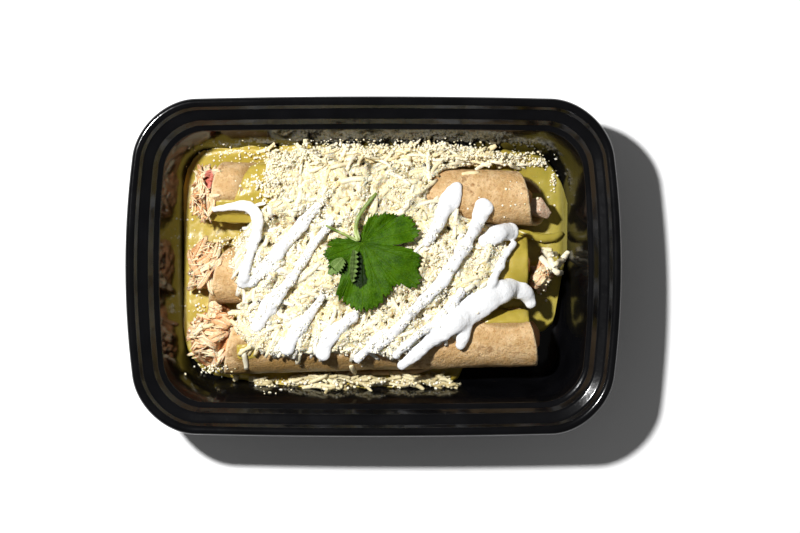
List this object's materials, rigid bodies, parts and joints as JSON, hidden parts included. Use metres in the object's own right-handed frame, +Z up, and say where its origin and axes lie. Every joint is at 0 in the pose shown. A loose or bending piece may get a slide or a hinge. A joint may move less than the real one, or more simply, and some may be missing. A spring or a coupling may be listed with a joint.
{
  "type": "enchiladas in a meal tray",
  "caption": "Rolled corn tortillas with shredded chicken, green sauce, grated cheese, cream and a coriander sprig in a black plastic meal tray.",
  "frame": {"origin": "middle of the tray's underside, where it rests on the table", "axes": "+X along the tray's length, to the right in the picture; +Y across it, to the top of the picture; +Z up"},
  "size_m": [0.2222, 0.1524, 0.045],
  "materials": {
    "tray": "glossy black polypropylene",
    "sauce": "wet green tomatillo sauce",
    "tortilla": "toasted corn tortilla, matt with brown mottling",
    "chicken": "moist shredded chicken",
    "cheese": "grated pale cheese with white crumbs and white cream",
    "leaf": "fresh green leaf"
  },
  "bodies": {
    "root": {"tray": "tray", "salsa": "sauce", "tortilla_1": "tortilla", "tortilla_2": "tortilla", "tortilla_3": "tortilla", "filling_1": "chicken", "filling_2": "chicken", "filling_3": "chicken", "cheese_blanket": "cheese", "cheese_front": "cheese", "cheese_right": "cheese", "coriander_sprig": "leaf"}
  },
  "joints": []
}
